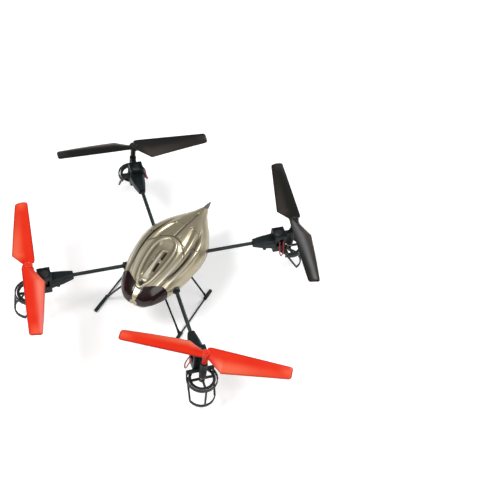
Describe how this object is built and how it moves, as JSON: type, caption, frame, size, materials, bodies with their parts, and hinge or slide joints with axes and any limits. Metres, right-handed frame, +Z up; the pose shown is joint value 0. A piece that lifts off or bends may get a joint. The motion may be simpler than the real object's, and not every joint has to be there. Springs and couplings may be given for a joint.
{
  "type": "remote control quadcopter",
  "caption": "Toy remote-control multi-rotor helicopter with geared rotors on thin arms, a leaf-shaped canopy, windows, a sliding battery and skid landing gear.",
  "frame": {"origin": "centre of the aircraft at the flat underside of the battery box", "axes": "+Z up along the rotor axes, nose towards -Y, +X to the port side, which is on the right seen from the front"},
  "size_m": [0.2828, 0.2738, 0.0693],
  "materials": {
    "champagne_shell": "metallic champagne paint on moulded plastic, satin gloss",
    "tinted_window": "glossy dark maroon tinted plastic",
    "tail_grey": "dark grey satin plastic",
    "black_plastic": "black nylon, slight moulded texture",
    "carbon_rod": "pulled carbon rod, satin",
    "red_blade": "bright orange red moulded plastic, glossy",
    "black_blade": "charcoal moulded plastic, satin gloss",
    "steel": "bright drawn steel",
    "brass": "turned brass",
    "board_green": "green solder mask",
    "foil": "silver foil pouch",
    "red_wire": "red wire insulation",
    "natural_plastic": "natural nylon plug"
  },
  "bodies": {
    "airframe": {"canopy": "champagne_shell", "window_port": "tinted_window", "window_starboard": "tinted_window", "tail_tip": "tail_grey", "canopy_screw": "steel", "battery_box": "black_plastic", "centre_frame": "black_plastic", "circuit_board": "board_green", "skid_port": "carbon_rod", "skid_starboard": "carbon_rod", "leg_front_port": "black_plastic", "leg_rear_port": "black_plastic", "leg_front_starboard": "black_plastic", "leg_rear_starboard": "black_plastic", "arm_rear_port": "carbon_rod", "motor_mount_rear_port": "black_plastic", "motor_rear_port": "steel", "motor_lead_rear_port": "red_wire", "shaft_bush_rear_port": "brass", "gear_guard_rear_port": "black_plastic", "arm_rear_starboard": "carbon_rod", "motor_mount_rear_starboard": "black_plastic", "motor_rear_starboard": "steel", "motor_lead_rear_starboard": "red_wire", "shaft_bush_rear_starboard": "brass", "gear_guard_rear_starboard": "black_plastic", "arm_front_starboard": "carbon_rod", "motor_mount_front_starboard": "black_plastic", "motor_front_starboard": "steel", "motor_lead_front_starboard": "red_wire", "shaft_bush_front_starboard": "brass", "gear_guard_front_starboard": "black_plastic", "arm_front_port": "carbon_rod", "motor_mount_front_port": "black_plastic", "motor_front_port": "steel", "motor_lead_front_port": "red_wire", "shaft_bush_front_port": "brass", "gear_guard_front_port": "black_plastic"},
    "battery_pack": {"battery": "foil", "battery_plug": "natural_plastic"},
    "rotor_set_rear_port": {"rotor_rear_port": "black_blade", "rotor_shaft_rear_port": "steel", "main_gear_rear_port": "black_plastic"},
    "pinion_set_rear_port": {"pinion_rear_port": "brass"},
    "rotor_set_rear_starboard": {"rotor_rear_starboard": "black_blade", "rotor_shaft_rear_starboard": "steel", "main_gear_rear_starboard": "black_plastic"},
    "pinion_set_rear_starboard": {"pinion_rear_starboard": "brass"},
    "rotor_set_front_starboard": {"rotor_front_starboard": "red_blade", "rotor_shaft_front_starboard": "steel", "main_gear_front_starboard": "black_plastic"},
    "pinion_set_front_starboard": {"pinion_front_starboard": "brass"},
    "rotor_set_front_port": {"rotor_front_port": "red_blade", "rotor_shaft_front_port": "steel", "main_gear_front_port": "black_plastic"},
    "pinion_set_front_port": {"pinion_front_port": "brass"}
  },
  "joints": [
    {"name": "rotor_spin_rear_port", "type": "hinge", "parent": "airframe", "child": "rotor_set_rear_port", "pos_m": [0.0815, 0.0815, 0.005], "axis": [0, 0, 1], "continuous": true},
    {"name": "pinion_spin_rear_port", "type": "hinge", "parent": "airframe", "child": "pinion_set_rear_port", "pos_m": [0.07259, 0.07259, 0.005], "axis": [0, 0, 1], "continuous": true},
    {"name": "rotor_spin_rear_starboard", "type": "hinge", "parent": "airframe", "child": "rotor_set_rear_starboard", "pos_m": [-0.0815, 0.0815, 0.005], "axis": [0, 0, 1], "continuous": true},
    {"name": "pinion_spin_rear_starboard", "type": "hinge", "parent": "airframe", "child": "pinion_set_rear_starboard", "pos_m": [-0.07259, 0.07259, 0.005], "axis": [0, 0, 1], "continuous": true},
    {"name": "rotor_spin_front_starboard", "type": "hinge", "parent": "airframe", "child": "rotor_set_front_starboard", "pos_m": [-0.0815, -0.0815, 0.005], "axis": [0, 0, 1], "continuous": true},
    {"name": "pinion_spin_front_starboard", "type": "hinge", "parent": "airframe", "child": "pinion_set_front_starboard", "pos_m": [-0.07259, -0.07259, 0.005], "axis": [0, 0, 1], "continuous": true},
    {"name": "rotor_spin_front_port", "type": "hinge", "parent": "airframe", "child": "rotor_set_front_port", "pos_m": [0.0815, -0.0815, 0.005], "axis": [0, 0, 1], "continuous": true},
    {"name": "pinion_spin_front_port", "type": "hinge", "parent": "airframe", "child": "pinion_set_front_port", "pos_m": [0.07259, -0.07259, 0.005], "axis": [0, 0, 1], "continuous": true},
    {"name": "battery_slide", "type": "slide", "parent": "airframe", "child": "battery_pack", "axis": [0, 1, 0], "range_m": [0, 0.06]}
  ],
  "couplings": [
    {"joint": "pinion_spin_rear_port", "follows": "rotor_spin_rear_port", "ratio": -6},
    {"joint": "pinion_spin_rear_starboard", "follows": "rotor_spin_rear_starboard", "ratio": -6},
    {"joint": "pinion_spin_front_starboard", "follows": "rotor_spin_front_starboard", "ratio": -6},
    {"joint": "pinion_spin_front_port", "follows": "rotor_spin_front_port", "ratio": -6}
  ]
}
